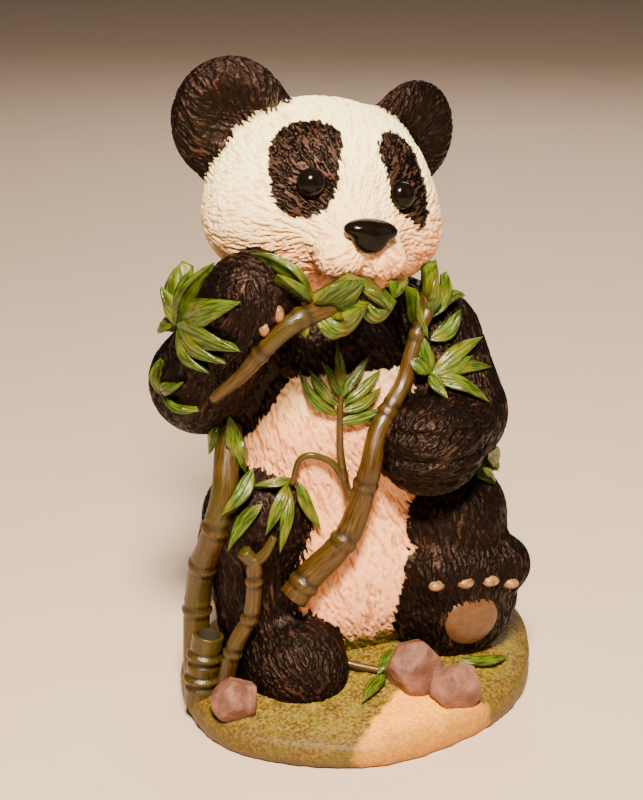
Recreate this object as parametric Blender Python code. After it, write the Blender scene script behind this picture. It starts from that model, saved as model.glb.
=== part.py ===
"""A seated panda figurine with its bamboo, leaves, stones and mossy base, all one resin casting.

Metres, +Z up. The panda faces -Y and its own right side is at -X.
The origin is the centre of the flat underside.
"""

import math

import bmesh
import bpy
import numpy as np

# Driving dimensions, in metres
figure_height = 0.194  # from the rim of the base to the top of the higher ear
base_length = 0.132  # the oval base's long way
base_depth = 0.109  # and its short way
base_yaw = math.radians(45)  # the long way, turned from +X towards +Y
rim_height = 0.007  # side wall of the base
mound_rise = 0.011  # how far the ground swells above the rim
figure_offset = (-0.0054, -0.011)  # from the base's centre to the line through the figure's own middle

# One share is 1/194 of the figure's height, which is one millimetre on the real figurine.
# Every point of the figure below is in shares: across and back from the figure's own middle line,
# and upwards from the rim of the base.
SHARES = 194.0
share = figure_height / SHARES

HEAD_CENTRE = np.array((-4.8, 15.0, 152.4))
HEAD_YAW = math.radians(5)  # turned towards its own left
HEAD_ROLL = math.radians(9)  # its left side lower


def turned(yaw=0.0, pitch=0.0, roll=0.0):
    """Rotation matrix: roll about Y, then pitch about X, then yaw about Z."""
    cy, sy = math.cos(yaw), math.sin(yaw)
    cp, sp = math.cos(pitch), math.sin(pitch)
    cr, sr = math.cos(roll), math.sin(roll)
    about_z = np.array(((cy, -sy, 0), (sy, cy, 0), (0, 0, 1)))
    about_x = np.array(((1, 0, 0), (0, cp, -sp), (0, sp, cp)))
    about_y = np.array(((cr, 0, sr), (0, 1, 0), (-sr, 0, cr)))
    return about_z @ about_x @ about_y


HEAD_TURN = turned(yaw=HEAD_YAW, roll=HEAD_ROLL)


# Signed distances: each function takes points as rows and is negative inside its form

def ellipsoid(points, centre, radii, turn=None):
    """With q = p / radii, the distance is about |q| (|q| - 1) / |q / radii|."""
    local = points - np.asarray(centre, float)
    if turn is not None:
        local = local @ turn
    q = local / np.asarray(radii, float)
    length = np.linalg.norm(q, axis=1) + 1e-9
    slope = np.linalg.norm(q / np.asarray(radii, float), axis=1) + 1e-9
    return length * (length - 1) / slope


def bone(points, start, end, start_radius, end_radius):
    """Distance to the segment start-end, less a radius that runs evenly from one end to the other."""
    start, end = np.asarray(start, float), np.asarray(end, float)
    along = end - start
    t = np.clip((points - start) @ along / (along @ along), 0, 1)
    radius = start_radius + t * (end_radius - start_radius)
    return np.linalg.norm(points - start - t[:, None] * along, axis=1) - radius


def blend(first, second, width):
    """Smooth union: the lower of two distances, rounded where they meet within the width."""
    h = np.clip(0.5 + 0.5 * (second - first) / width, 0, 1)
    return second + (first - second) * h - width * h * (1 - h)


def carve(first, second, width):
    """Smooth cut: the first form less the second."""
    return -blend(-first, second, width)


def torso(p):
    hips = ellipsoid(p, (-2, 19, 34), (43, 33, 38))
    chest = ellipsoid(p, (-3, 18, 84), (37, 28, 40))
    shoulders = ellipsoid(p, (-3, 20, 110), (35, 23, 20))
    return blend(blend(hips, chest, 16), shoulders, 10)


def head(p):
    q = (p - HEAD_CENTRE) @ HEAD_TURN
    form = ellipsoid(q, (0, 2, 2), (33, 29, 26))
    for side in (-1, 1):
        form = blend(form, ellipsoid(q, (16.3 * side, -3, -8.5), (21, 20, 17.5)), 8)
    form = blend(form, ellipsoid(q, (0, -6, -17), (20, 19, 11)), 6)
    form = blend(form, ellipsoid(q, (1, -24, -9), (14, 11.5, 10.5)), 7)
    for side in (-1, 1):
        form = blend(form, ellipsoid(q, (1 + 6 * side, -31, -12.5), (8, 6, 6.5)), 3)
    return blend(form, ellipsoid(q, (1.5, -25, -19), (9, 7, 6)), 4)


# Each ear: the centre of its disc on the skull, and the disc's half width and half height
EAR_SHAPES = {-1: ((-29.3, 7, 17.6), 17.6, 18.8), 1: ((28.8, 7, 18.3), 17.2, 16.8)}


def ear_frame(side):
    """An ear's rotation, splayed outwards, and its centre on the skull."""
    splay = HEAD_TURN @ turned(yaw=math.radians(20) * side)
    return splay, HEAD_CENTRE + HEAD_TURN @ np.array(EAR_SHAPES[side][0])


def ear(p, side):
    """A round disc on the skull, its front hollowed and turned a little outwards."""
    splay, centre = ear_frame(side)
    _, half_width, half_height = EAR_SHAPES[side]
    disc = ellipsoid(p, centre, (half_width, 5.5, half_height), splay)
    hollow = centre + splay @ np.array((0, -7.5, 1.5))
    return carve(disc, ellipsoid(p, hollow, (10.5, 5, 10.5), splay), 2.5)


def nose_place():
    return HEAD_CENTRE + HEAD_TURN @ np.array((1, -35.6, -4.8))


def nose(p):
    q = (p - HEAD_CENTRE) @ HEAD_TURN
    top = ellipsoid(q, (1, -35.4, -3.4), (8.2, 4.2, 3.4))
    return blend(top, ellipsoid(q, (1, -36.0, -6.6), (5.0, 3.6, 3.4)), 2)


def eye_place(side):
    return HEAD_CENTRE + HEAD_TURN @ np.array((14 * side, -23.6, 5.8 - 0.8 * side))


def eye(p, side):
    return ellipsoid(p, eye_place(side), (4.3, 3.8, 4.3), HEAD_TURN)


def right_upper_arm(p):
    return bone(p, (-27, 19, 107), (-44, 12, 98), 17, 15.5)


def right_forearm(p):
    wrist = bone(p, (-44, 12, 98), (-39, -8, 121), 15, 13)
    return blend(wrist, ellipsoid(p, (-35, -15, 130), (14.5, 14, 14)), 5)


def left_upper_arm(p):
    return bone(p, (27, 15, 101.5), (33.5, 3, 83), 19.5, 16.6)


def left_forearm(p):
    """The forearm and its closed paw, with three creases between the fingers on the paw's front."""
    wrist = bone(p, (32, 4, 83), (24, -10, 80), 16, 14)
    paw = blend(wrist, ellipsoid(p, (19, -15, 79.5), (16, 14.5, 15)), 5)
    front = np.clip((-14 - p[:, 1]) / 8, 0, 1)
    for height in (87, 79.5, 72):
        paw = paw + 1.1 * front * np.exp(-((p[:, 2] - height) / 1.3) ** 2)
    return paw


def right_thigh(p):
    return bone(p, (-22, 24, 34), (-29, 4.5, 54.5), 22, 17.5)


def right_shin(p):
    return bone(p, (-29, 4, 54), (-29, 3, 14), 16, 14)


def right_foot(p):
    return ellipsoid(p, (-23.5, -8, 10.5), (16, 22, 16.5), turned(yaw=math.radians(22)))


def left_thigh(p):
    return bone(p, (24, 24, 32), (33, 5, 48), 23, 18)


def left_shin(p):
    return bone(p, (30.6, 5, 46), (31, -1, 22), 20.4, 17.5)


def left_foot(p):
    sole = ellipsoid(p, (31.7, -8, 22), (21.3, 10.5, 19), turned(yaw=math.radians(8)))
    toes = bone(p, (23, -12, 36), (46.3, -8, 34), 9.5, 9.5)
    return blend(sole, toes, 4)


def tail(p):
    return ellipsoid(p, (-2, 47, 17), (10, 9, 9))


# Each part of the body: its field, a point inside it, the radii that spread its mesh evenly, and its rings
BODY = {
    "head": (head, HEAD_CENTRE, (33, 31, 27), HEAD_TURN, 14),
    "torso": (torso, (-2, 19, 60), (42, 32, 62), None, 11),
    "right_upper_arm": (right_upper_arm, (-37, 15, 103), (18, 18, 24), None, 8),
    "right_forearm": (right_forearm, (-40, -3, 114), (15, 24, 26), None, 9),
    "left_upper_arm": (left_upper_arm, (31, 10, 94), (20, 22, 28), None, 8),
    "left_forearm": (left_forearm, (25, -6, 80), (20, 22, 16), None, 12),
    "right_thigh": (right_thigh, (-26, 14, 44), (20, 26, 24), None, 8),
    "right_shin": (right_shin, (-29, 3, 34), (15, 15, 34), None, 8),
    "right_foot": (right_foot, (-23.5, -8, 10.5), (16, 22, 16), None, 9),
    "left_thigh": (left_thigh, (29, 14, 40), (22, 28, 26), None, 8),
    "left_shin": (left_shin, (33, 2, 35), (16, 18, 28), None, 8),
    "left_foot": (left_foot, (32, -8, 26), (20, 10, 21), None, 9),
    "tail": (tail, (-2, 47, 17), (10, 8, 9), None, 5),
    "nose": (nose, nose_place(), (7, 4, 5), HEAD_TURN, 6),
}
for side, name in ((-1, "right"), (1, "left")):
    turn, place = ear_frame(side)
    BODY[name + "_ear"] = (lambda p, side=side: ear(p, side), place, (16, 5, 16), turn, 9)
    BODY[name + "_eye"] = (lambda p, side=side: eye(p, side), eye_place(side), (4, 4, 4), HEAD_TURN, 6)


def stone(p, centre, radii, turn_by):
    """An ellipsoid with flat faces struck off it at directions spread by a fixed turn."""
    local = p - np.asarray(centre, float)
    form = ellipsoid(p, centre, radii)
    for k in range(9):
        round_by = turn_by + 2.4 * k
        tilt = math.radians(65 - 14 * k)
        level = math.cos(tilt)
        face = np.array((math.cos(round_by) * level, math.sin(round_by) * level, math.sin(tilt)))
        reach = 0.86 * np.linalg.norm(face * np.asarray(radii, float))
        form = -blend(-form, reach - local @ face, 0.8)
    return form


# Stones: place on the base as shares of its half length and half depth, height of the middle above the
# ground there, radii, and the turn of the struck faces
STONES = {
    "stone_by_the_culms": ((-0.883, 0.213), 4.9, (7.6, 6.6, 7.4), 0.4),
    "stone_on_the_path": ((-0.335, -0.553), 4.4, (9.2, 8.5, 10.5), 1.7),
    "stone_at_the_rim": ((-0.30, -0.80), 3.4, (8.6, 7, 8.2), 2.9),
}

# Claws: centre, radii and yaw in degrees
CLAWS = {
    "foot_claw_1": ((20.4, -20.2, 35.6), (2.9, 2, 1.7), 20),
    "foot_claw_2": ((30, -19.6, 34.8), (2.9, 2, 1.7), 5),
    "foot_claw_3": ((38.6, -18.6, 33.8), (2.9, 2, 1.7), -5),
    "foot_claw_4": ((46, -16.8, 31.2), (2.8, 2, 1.7), -20),
    "paw_claw_1": ((-34.2, -26.9, 125), (1.5, 1.7, 2.2), -30),
    "paw_claw_2": ((-30.2, -27.2, 129), (1.7, 1.7, 2.5), -15),
    "sole_pad": ((33, -17.2, 21), (9.4, 2.8, 8.6), 8),
}

# Culms and stems: a path, the radii at its two ends, the shares of its length that carry a node,
# and whether its first end is cut open
CULMS = {
    "tall_culm": (((-50, 4, -3), (-50, 6, 12), (-49, 6, 28), (-48, 2, 41), (-45, -4, 55), (-42, -5, 68),
                   (-40, -1, 78), (-38, 3, 86)), 4.2, 3.9, (0.3, 0.49, 0.66), False),
    "culm_stub": (((-48, -4, 21), (-50, -4, 10), (-51, -4, -2)), 4.8, 5.2, (0.3, 0.62), True),
    "thin_culm": (((-45, -9, 3), (-42, -13, 20), (-37, -15, 32), (-36, -16, 44), (-36, -16, 51)),
                  2.7, 2.3, (0.32, 0.58, 0.84), False),
    "thin_culm_fork": (((-36, -16, 49), (-39, -16, 53)), 2.2, 2.4, (), False),
    "thin_culm_tip": (((-36, -16, 49), (-33, -17, 52), (-30, -17, 57)), 2.05, 1.2, (), False),
    "held_stalk": (((-24, -16, 36), (-18, -16, 43), (-12, -17, 49), (-7, -17, 55), (-4, -16, 61), (-2, -16, 68),
                    (0, -17, 76), (3, -14, 85), (8, -11, 92), (13, -8, 98), (16, -6, 106), (19, -4, 113),
                    (22, -3, 118), (23, 2, 123)), 4.7, 1.8, (0.05, 0.22, 0.4, 0.62, 0.86), True),
    "mouth_stick": (((-46, -13, 101), (-40, -20, 109), (-35, -25, 117), (-30, -27, 123), (-24, -27, 127),
                     (-13, -23, 129), (-5, -18, 132)), 1.6, 3.8, (0.38, 0.64), False),
    "belly_stem": (((-4, -17, 62), (-6, -14, 67), (-7, -12, 73), (-8, -12, 81), (-8, -12, 92), (-7, -10, 99)),
                   1.4, 0.9, (0.3,), False),
    "arched_stem": (((-7, -12, 71), (-10, -12, 76), (-13, -11, 78), (-17, -10, 79), (-20, -9, 77),
                     (-22, -9, 70)), 1.1, 0.9, (), False),
    "ground_stem": (((-13, -14, 13), (-4, -19, 11), (4, -23, 10)), 1.1, 1.1, (), False),
}

# Leaves: a path from root to tip, and the width of the blade
LEAVES = {
    "wrist_leaf": (
        (((-54, -4, 121), (-50, -17, 128), (-41, -29, 134)), 9.5),
        (((-54, -4, 121), (-50, -18, 121), (-41, -27, 119)), 8),
        (((-54, -4, 121), (-52, -15, 117), (-44, -22, 114)), 6),
        (((-54, -3, 121), (-54, -10, 114), (-48, -17, 110)), 5.5),
        (((-54, -3, 121), (-53, -9, 133), (-45, -15, 142)), 4),
        (((-54, -3, 121), (-54, -4, 130), (-50, -6, 138)), 6),
        (((-54, -2, 121), (-56, 2, 125), (-57, 4, 131)), 5),
        (((-54, -2, 121), (-55, 7, 128), (-49, 11, 136)), 6),
        (((-54, -2, 121), (-56, 8, 118), (-50, 20, 118)), 6.5),
    ),
    "elbow_leaf": (
        (((-58, 4, 98), (-58, -1, 101), (-54, -7, 104)), 4.5),
        (((-58, 4, 98), (-55, -2, 95), (-49, -6, 95)), 3.5),
        (((-58, 4, 98), (-60, 5, 103), (-58, 4, 109)), 4.5),
    ),
    "paw_leaf": (
        (((-20, -26, 131), (-24, -27, 140), (-30, -23, 144), (-36, -20, 145)), 3.6),
        (((-20, -26, 131), (-24, -29, 136), (-31, -29, 141)), 3.2),
        (((-20, -26, 131), (-22, -28, 127), (-23, -29, 122)), 2.4),
    ),
    "mouth_leaf": (
        (((-20, -25, 129), (-13, -28, 132), (-5, -28, 137)), 14),
        (((-19, -25, 128), (-12, -29, 124), (-4, -28, 130)), 9),
        (((-20, -27, 128), (-15, -28, 123), (-9, -26, 121)), 4.5),
        (((-6, -25, 129), (-1, -26, 125), (5, -25, 129)), 6),
        (((-5, -25, 134), (-1, -27, 131), (3, -27, 127)), 4),
        (((4, -24, 130), (9, -17, 130), (14, -8, 131)), 4),
    ),
    "cheek_leaf": (
        (((22, -4, 116), (24, -5, 125), (26, 1, 133)), 5.4),
        (((24, -3, 116), (29, 1, 122), (32, 8, 127)), 5.4),
        (((27, -1, 119), (32, 3, 121), (38, 7, 119)), 4.4),
        (((22, -5, 109), (29, -3, 112), (34, 0, 117)), 6),
        (((22, -5, 111), (19, -5, 118), (18, -5, 126)), 3),
    ),
    "fan_leaf": (
        (((21, -9, 100), (20, -7, 107), (19, -4, 113)), 5.2),
        (((21, -9, 100), (17, -9, 104), (14, -7, 106)), 5),
        (((21, -9, 100), (31, -7, 106), (41, -1, 108)), 5.4),
        (((21, -9, 100), (28, -9, 101.5), (36, -6, 104)), 4.6),
        (((21, -9, 100), (31, -8, 101.5), (43, -4, 99)), 5.4),
        (((21, -9, 100), (31, -12, 97), (39, -13, 91)), 5.6),
        (((21, -9, 100), (22, -13, 98), (24, -17, 95)), 5),
    ),
    "chest_leaf": (
        (((-9, -12, 91), (-15, -10, 96), (-19, -6, 104)), 3.8),
        (((-8, -12, 94), (-12, -10, 98), (-16, -6, 105)), 3.8),
        (((-7, -11, 97), (-9, -9, 102), (-12, -6, 107)), 3.6),
        (((-7, -11, 98), (-7, -9, 104), (-7, -6, 112)), 3.8),
        (((-7, -11, 97), (-3, -10, 102), (3, -7, 108)), 3.8),
        (((-7, -12, 95), (-1, -11, 98), (6, -8, 103)), 4),
        (((-8, -12, 92), (-1, -12, 94), (6, -9, 98)), 4),
        (((-9, -12, 90), (-1, -12, 90), (7, -11, 92)), 3.8),
    ),
    "belly_leaf": (
        (((-22, -9, 71), (-27, -9, 71), (-34, -7, 70)), 3.4),
        (((-23, -9, 70), (-27, -13, 66), (-32, -15, 57)), 4.6),
        (((-23, -9, 70), (-25, -14, 62), (-28, -16, 51)), 4.6),
        (((-21, -9, 70), (-18, -11, 63), (-14, -12, 55)), 4.6),
        (((-31.5, -12, 66.5), (-38, -12, 61), (-43, -12, 52)), 4.8),
    ),
    "culm_leaf": (
        (((-40, -3, 91), (-38, -5, 82), (-35, -4, 73)), 5.4),
        (((-33, -6, 75), (-38, -10, 69), (-45, -11, 63)), 5.4),
        (((-42, -1, 88), (-44, -1, 83), (-45, 2, 78)), 2.6),
    ),
    "hip_leaf": (
        (((39, -8, 74), (45, -3, 69), (49, 3, 61)), 6),
        (((38, -12, 69), (42, -8, 65), (45, -4, 60)), 2.6),
    ),
    "ground_leaf": (
        (((27, -20, 8), (37, -20, 7), (47, -16, 5)), 5.2),
        (((11, -17, 13), (6, -20, 13), (0, -24, 10)), 6.5),
        (((3, -23, 10), (-3, -29, 9), (-8, -34, 7)), 5.2),
    ),
}

leaf_thickness = 1.7  # at the rib, in shares
root_spread = 0.7  # how far the roots of a bunch of leaves stand from their common point
leaf_stations = (0.0, 0.16, 0.46, 0.78, 1.0)  # where a blade's cross-sections stand, root to tip


def metres(points):
    """Figure shares to metres, placed on the base."""
    return np.asarray(points, float) * share + np.array((*figure_offset, rim_height))


def cast(field, centre, directions, reach):
    """Each ray walks in from its reach towards the centre, by the field's own distance, to the surface."""
    travel = np.full(len(directions), float(reach))
    for _ in range(60):
        travel -= 0.8 * field(centre + directions * travel[:, None])
    return centre + directions * travel[:, None]


def resin():
    """Painted resin in the cream of the figure's light fur, with a low sheen."""
    material = bpy.data.materials.new("painted_resin")
    material.use_nodes = True
    surface = material.node_tree.nodes["Principled BSDF"]
    surface.inputs["Base Color"].default_value = (0.80, 0.66, 0.52, 1)
    surface.inputs["Roughness"].default_value = 0.55
    surface.inputs["Metallic"].default_value = 0
    return material


def new_object(name, mesh_builder, collection):
    """An object whose mesh is filled in by the builder, ready to be joined to the casting."""
    mesh = bpy.data.meshes.new(name)
    bm = bmesh.new()
    mesh_builder(bm)
    bmesh.ops.recalc_face_normals(bm, faces=bm.faces)
    bm.to_mesh(mesh)
    bm.free()
    obj = bpy.data.objects.new(name, mesh)
    collection.objects.link(obj)
    return obj


def cast_builder(field, centre, radii, turn, rings):
    """A sphere of rings and segments, stretched by the radii and pushed out to the form's own surface."""
    def build(bm):
        bmesh.ops.create_uvsphere(bm, u_segments=rings * 3 // 2, v_segments=rings, radius=1)
        unit = np.array([v.co for v in bm.verts])
        spread = unit * np.asarray(radii, float)
        if turn is not None:
            spread = spread @ np.asarray(turn).T
        directions = spread / np.linalg.norm(spread, axis=1)[:, None]
        reach = 2.2 * max(radii)
        surface = metres(cast(field, np.asarray(centre, float), directions, reach))
        for vertex, place in zip(bm.verts, surface):
            vertex.co = place
    return build


def ground(x, y):
    """Height of the mossy ground above the rim, in metres: a dome that falls to nothing at the rim."""
    along = x * math.cos(base_yaw) + y * math.sin(base_yaw)
    across = y * math.cos(base_yaw) - x * math.sin(base_yaw)
    out = np.clip((2 * along / base_length) ** 2 + (2 * across / base_depth) ** 2, 0, 1)
    return mound_rise * (1 - out) ** 0.8


def on_base(place, height):
    """A place in shares of the base's half length and half depth, and a height above the ground there."""
    along, across = place[0] * base_length / 2, place[1] * base_depth / 2
    x = along * math.cos(base_yaw) - across * math.sin(base_yaw)
    y = along * math.sin(base_yaw) + across * math.cos(base_yaw)
    middle_x, middle_y = figure_offset
    return np.array(((x - middle_x) / share, (y - middle_y) / share, float(ground(x, y)) / share + height))


def skin(p):
    """Distance to the nearest of the body's forms, or to the ground."""
    x, y, _ = metres(p).T
    nearest = 0.9 * (p[:, 2] - ground(x, y) / share)
    for field, *_ in BODY.values():
        nearest = np.minimum(nearest, field(p))
    return nearest


def outward(p):
    """The direction in which the skin's distance grows fastest."""
    rise = np.stack([skin(p + step) - skin(p - step) for step in 0.5 * np.eye(3)], axis=1)
    return rise / np.linalg.norm(rise, axis=1)[:, None]


def lifted(p, clearance):
    """Points nearer the skin than the clearance are moved out until they reach it; the others stay."""
    for _ in range(6):
        p = p + outward(p) * np.maximum(clearance - skin(p), 0)[:, None]
    return p


def course(path, shares):
    """Places on a Catmull-Rom curve through the path's points, at the given shares of its length."""
    p = np.asarray(path, float)
    p = np.vstack((2 * p[0] - p[1], p, 2 * p[-1] - p[-2]))
    u = np.linspace(0, 1, 13)[:-1, None]
    spans = []
    for a, b, c, d in zip(p, p[1:], p[2:], p[3:]):
        spans.append(b + 0.5 * u * (c - a + u * (2 * a - 5 * b + 4 * c - d + u * (3 * (b - c) + d - a))))
    line = np.vstack(spans + [p[-2:-1]])
    length = np.concatenate(([0], np.cumsum(np.linalg.norm(np.diff(line, axis=0), axis=1))))
    return np.stack([np.interp(np.asarray(shares) * length[-1], length, line[:, k]) for k in range(3)], axis=1)


def unit(rows):
    return rows / np.linalg.norm(rows, axis=1)[:, None]


def leaf_sections(path, width):
    """A blade pressed on the skin: each section has two edges, a raised rib and a keel sunk to the skin.

    The half width at share t of the length is width / 2 * sin(pi * t ** 0.8) ** 0.8.
    """
    t = np.array(leaf_stations)
    rib = lifted(course(path, t), 0.7)
    along = unit(np.gradient(rib, axis=0))
    out = outward(rib)
    out = unit(out + out.mean(axis=0))
    side = unit(np.cross(along, out))
    half = (width / 2 * np.sin(np.pi * t ** 0.8).clip(0) ** 0.8)[:, None]
    left = lifted(rib - side * half, 0.3)
    right = lifted(rib + side * half, 0.3)
    keel = rib - out * np.clip(skin(rib) + 1.2, 1, 7)[:, None]
    crest = rib + out * leaf_thickness / 2
    sections = np.stack((left, crest, right, keel), axis=1)
    return [rib[:1]] + list(sections[1:-1]) + [rib[-1:]]


def culm_sections(path, start_radius, end_radius, nodes, hollow, sides):
    """Rings along a path that swell at each node; a hollow end turns in over its rim and back down inside."""
    profile = [(0.04, 0.5), (0.0, 0.62)] if hollow else []
    profile.append((0.0, 1.0))
    for node, following in zip(nodes, (*nodes[1:], 1.0)):
        profile += [(node - 0.018, 0.96), (node, 1.17), (node + 0.018, 0.96), ((node + following) / 2, 0.96)]
    if not nodes:
        profile += [(0.2, 1.0), (0.4, 1.0), (0.6, 1.0), (0.8, 1.0)]
    profile.append((1.0, 1.0))
    at = np.array([place for place, _ in profile])
    centre = course(path, at)
    along = unit(course(path, np.minimum(at + 0.02, 1)) - course(path, np.maximum(at - 0.02, 0)))
    radius = (start_radius + at * (end_radius - start_radius)) * np.array([swell for _, swell in profile])
    side = np.cross(along[0], (0.3, 0.9, 0.1))
    sections = []
    for place, direction, reach in zip(centre, along, radius):
        side = side - direction * (side @ direction)
        side = side / np.linalg.norm(side)
        turn = 2 * math.pi * np.arange(sides)[:, None] / sides
        sections.append(place + reach * (np.cos(turn) * side + np.sin(turn) * np.cross(direction, side)))
    return sections


def section_builder(sections):
    """Closed body through the sections in turn; an end section is one point or a flat cap."""
    def build(bm):
        rows = [[bm.verts.new(place) for place in metres(section)] for section in sections]
        for low, high in zip(rows, rows[1:]):
            count = max(len(low), len(high))
            for k in range(count):
                m = (k + 1) % count
                corners = [low[k % len(low)], low[m % len(low)], high[m % len(high)], high[k % len(high)]]
                bm.faces.new(list(dict.fromkeys(corners)))
        for cap in (rows[0], rows[-1]):
            if len(cap) > 1:
                bm.faces.new(cap)
    return build


def base_builder(bm):
    """Rings of the base from its underside up over the rim to the top of the mound."""
    sides = 28
    rim = [(0.0, 0.0), (0.96, 0.0), (1.0, 0.35), (0.985, 1.0)]
    dome = [(0.88, 1.0), (0.7, 1.0), (0.45, 1.0), (0.0, 1.0)]
    rows = []
    for out, rise in rim + dome:
        row = []
        for k in range(sides if out else 1):
            turn = 2 * math.pi * k / sides
            wobble = 1 + 0.012 * math.sin(3 * turn + 0.6) + 0.008 * math.sin(7 * turn)
            along = out * wobble * base_length / 2 * math.cos(turn)
            across = out * wobble * base_depth / 2 * math.sin(turn)
            x = along * math.cos(base_yaw) - across * math.sin(base_yaw)
            y = along * math.sin(base_yaw) + across * math.cos(base_yaw)
            z = rise * rim_height
            if (out, rise) in dome:
                z += float(ground(x / wobble, y / wobble))
            row.append(bm.verts.new((x, y, z)))
        rows.append(row)
    for low, high in zip(rows, rows[1:]):
        for k in range(sides):
            m = (k + 1) % sides
            corners = [low[k % len(low)], low[m % len(low)], high[m % len(high)], high[k % len(high)]]
            bm.faces.new(list(dict.fromkeys(corners)))


def main():
    for obj in list(bpy.data.objects):
        bpy.data.objects.remove(obj)
    forms = bpy.data.collections.new("Forms")
    bpy.context.scene.collection.children.link(forms)
    for name, spec in BODY.items():
        new_object(name, cast_builder(*spec), forms)
    for name, (place, height, radii, turn_by) in STONES.items():
        centre = on_base(place, height)
        field = lambda p, centre=centre, radii=radii, turn_by=turn_by: stone(p, centre, radii, turn_by)
        new_object(name, cast_builder(field, centre, radii, None, 7), forms)
    for name, (centre, radii, yaw) in CLAWS.items():
        turn = turned(yaw=math.radians(yaw))
        field = lambda p, centre=centre, radii=radii, turn=turn: ellipsoid(p, centre, radii, turn)
        new_object(name, cast_builder(field, centre, radii, turn, 4), forms)
    for name, (path, start_radius, end_radius, nodes, hollow) in CULMS.items():
        sides = 7 if start_radius > 2 else 4
        sections = culm_sections(path, start_radius, end_radius, nodes, hollow, sides)
        new_object(name, section_builder(sections), forms)
    for group, blades in LEAVES.items():
        for k, (path, width) in enumerate(blades):
            spread = root_spread * np.array((math.cos(4 * k), math.cos(2.4 * k), math.sin(2.4 * k)))
            sections = leaf_sections((np.add(path[0], spread), *path[1:]), width)
            new_object(f"{group}_{k + 1}", section_builder(sections), forms)
    figurine = new_object("panda_figurine", base_builder, bpy.context.scene.collection)
    figurine.data.materials.append(resin())
    for form in forms.objects:
        form.hide_render = True
        form.display_type = "WIRE"
    union = figurine.modifiers.new("Casting", "BOOLEAN")
    union.operation = "UNION"
    union.solver = "EXACT"
    union.operand_type = "COLLECTION"
    union.collection = forms
    return figurine


main()
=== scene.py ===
import math

import bpy
import numpy as np
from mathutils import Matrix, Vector


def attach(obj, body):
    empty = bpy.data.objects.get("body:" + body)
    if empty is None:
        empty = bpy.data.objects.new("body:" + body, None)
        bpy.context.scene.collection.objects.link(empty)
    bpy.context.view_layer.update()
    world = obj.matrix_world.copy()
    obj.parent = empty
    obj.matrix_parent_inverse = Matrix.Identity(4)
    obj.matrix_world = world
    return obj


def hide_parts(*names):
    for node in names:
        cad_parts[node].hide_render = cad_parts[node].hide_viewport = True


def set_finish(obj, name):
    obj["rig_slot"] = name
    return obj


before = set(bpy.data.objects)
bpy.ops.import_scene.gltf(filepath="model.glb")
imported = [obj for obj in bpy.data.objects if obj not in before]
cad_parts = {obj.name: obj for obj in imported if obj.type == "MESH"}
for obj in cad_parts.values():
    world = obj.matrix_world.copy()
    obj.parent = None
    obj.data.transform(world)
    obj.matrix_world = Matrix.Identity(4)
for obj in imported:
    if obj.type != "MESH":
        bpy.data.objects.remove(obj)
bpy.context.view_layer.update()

# %% [markdown]
# # A painted resin panda among bamboo
#
# The figurine stands about 200 mm tall. A panda sits on a mossy oval base, a bamboo stalk across its
# belly, a stick in its mouth, with leaves on its chest and wrist. It is one resin casting, painted by
# hand: each tuft of fur is a carved stroke, with a thin brown wash left in the grooves.
#
# This lesson builds the surface in the same order as a sculptor would: big forms first, then fur,
# then bamboo and leaves, then the ground, then paint and light.

# %% [markdown]
# ## Sizes and places
#
# All the forms are written in shares of the figure's height. One share is one millimetre on the real
# figurine. `metres` turns shares to metres and puts them on the base.

# %% Sizes
figure_height = 0.194
base_length = 0.132
base_depth = 0.109
base_yaw = math.radians(45)
rim_height = 0.007
mound_rise = 0.011
figure_offset = (-0.0054, -0.011)
SHARES = 194.0
share = figure_height / SHARES


def metres(points):
    """Shares to metres: p * share, moved to the figure's place on the base."""
    return np.asarray(points, float) * share + np.array((*figure_offset, rim_height))


def turned(yaw=0.0, pitch=0.0, roll=0.0):
    """Rotation matrix: roll about Y, then pitch about X, then yaw about Z."""
    cy, sy = math.cos(yaw), math.sin(yaw)
    cp, sp = math.cos(pitch), math.sin(pitch)
    cr, sr = math.cos(roll), math.sin(roll)
    about_z = np.array(((cy, -sy, 0), (sy, cy, 0), (0, 0, 1)))
    about_x = np.array(((1, 0, 0), (0, cp, -sp), (0, sp, cp)))
    about_y = np.array(((cr, 0, sr), (0, 1, 0), (-sr, 0, cr)))
    return about_z @ about_x @ about_y


HEAD_CENTRE = np.array((-4.8, 15.0, 152.4))
HEAD_TURN = turned(yaw=math.radians(5), roll=math.radians(9))
print("one share is", round(share * 1000, 3), "mm")

# %% [markdown]
# ## Forms as distances
#
# Each form is a function that takes points as rows and gives their distance to its surface, negative
# inside. Forms are joined by a smooth minimum, which rounds the crease where they meet.

# %% Distance functions
def ellipsoid(points, centre, radii, turn=None):
    """With q = p / radii, the distance is about |q| (|q| - 1) / |q / radii|."""
    local = points - np.asarray(centre, float)
    if turn is not None:
        local = local @ turn
    q = local / np.asarray(radii, float)
    length = np.sqrt((q * q).sum(axis=1)) + 1e-9
    q = q / np.asarray(radii, float)
    slope = np.sqrt((q * q).sum(axis=1)) + 1e-9
    return length * (length - 1) / slope


def bone(points, start, end, start_radius, end_radius):
    """Distance to the segment start-end, less a radius that runs evenly from one end to the other."""
    start, end = np.asarray(start, float), np.asarray(end, float)
    along = end - start
    t = np.clip((points - start) @ along / (along @ along), 0, 1)
    away = points - start - t[:, None] * along
    return np.sqrt((away * away).sum(axis=1)) - start_radius - t * (end_radius - start_radius)


def blend(first, second, width):
    """Smooth union: h = 1/2 + (second - first) / 2w, then second + (first - second) h - w h (1 - h)."""
    h = np.clip(0.5 + 0.5 * (second - first) / width, 0, 1)
    return second + (first - second) * h - width * h * (1 - h)


def carve(first, second, width):
    """Smooth cut: the first form less the second."""
    return -blend(-first, second, width)


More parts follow.
